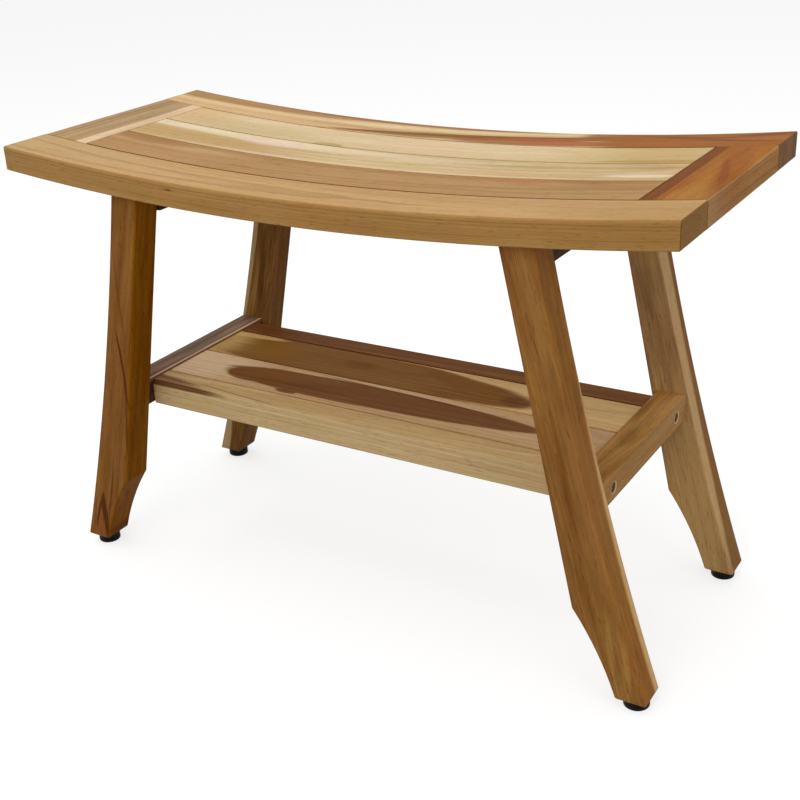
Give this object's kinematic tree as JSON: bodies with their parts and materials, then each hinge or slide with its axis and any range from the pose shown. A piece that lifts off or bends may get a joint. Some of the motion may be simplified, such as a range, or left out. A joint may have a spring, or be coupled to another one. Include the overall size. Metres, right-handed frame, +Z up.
{
  "type": "teak shower bench",
  "caption": "Slatted teak shower bench with a dished seat, splayed sabre legs scooped above round levelling feet, and a slatted lower shelf.",
  "frame": {"origin": "on the floor, under the middle of the seat", "axes": "+X along the bench to its right end as seen from the front, +Y to the rear, +Z up; the front of the bench looks towards -Y"},
  "size_m": [0.762, 0.333, 0.501],
  "materials": {
    "teak_golden": "oiled",
    "teak_brown": "oiled",
    "teak_pale": "oiled",
    "teak_tan": "oiled",
    "teak_plain": "sawn",
    "screw_steel": "satin",
    "bolt_steel": "satin",
    "insert_brass": "turned",
    "foot_rubber": "matt"
  },
  "bodies": {
    "bench": {"seat_front_rail": "teak_golden", "seat_rear_rail": "teak_brown", "seat_left_end_rail": "teak_tan", "seat_right_end_rail": "teak_golden", "seat_front_slat": "teak_golden", "seat_middle_slat": "teak_pale", "seat_rear_slat": "teak_pale", "seat_batten": "teak_plain", "left_front_leg": "teak_brown", "right_front_leg": "teak_golden", "left_rear_leg": "teak_brown", "right_rear_leg": "teak_tan", "left_crossbar": "teak_plain", "right_crossbar": "teak_plain", "left_stretcher": "teak_tan", "right_stretcher": "teak_tan", "shelf_front_rail": "teak_pale", "shelf_front_slat": "teak_pale", "shelf_rear_slat": "teak_golden", "shelf_rear_rail": "teak_brown", "left_shelf_cleat": "teak_plain", "middle_shelf_cleat": "teak_plain", "right_shelf_cleat": "teak_plain", "left_shelf_bolts": "bolt_steel", "right_shelf_bolts": "bolt_steel", "barrel_nuts": "bolt_steel", "leg_dowels": "teak_pale", "left_seat_screws": "screw_steel", "right_seat_screws": "screw_steel", "batten_screws": "screw_steel", "cleat_screws": "screw_steel", "foot_inserts": "insert_brass"},
    "left_front_foot": {"left_front_foot_pad": "foot_rubber", "left_front_foot_stem": "bolt_steel"},
    "right_front_foot": {"right_front_foot_pad": "foot_rubber", "right_front_foot_stem": "bolt_steel"},
    "left_rear_foot": {"left_rear_foot_pad": "foot_rubber", "left_rear_foot_stem": "bolt_steel"},
    "right_rear_foot": {"right_rear_foot_pad": "foot_rubber", "right_rear_foot_stem": "bolt_steel"}
  },
  "joints": [
    {"name": "left_front_foot_level", "type": "slide", "parent": "bench", "child": "left_front_foot", "axis": [0, 0, -1], "range_m": [0, 0.008]},
    {"name": "right_front_foot_level", "type": "slide", "parent": "bench", "child": "right_front_foot", "axis": [0, 0, -1], "range_m": [0, 0.008]},
    {"name": "left_rear_foot_level", "type": "slide", "parent": "bench", "child": "left_rear_foot", "axis": [0, 0, -1], "range_m": [0, 0.008]},
    {"name": "right_rear_foot_level", "type": "slide", "parent": "bench", "child": "right_rear_foot", "axis": [0, 0, -1], "range_m": [0, 0.008]}
  ]
}
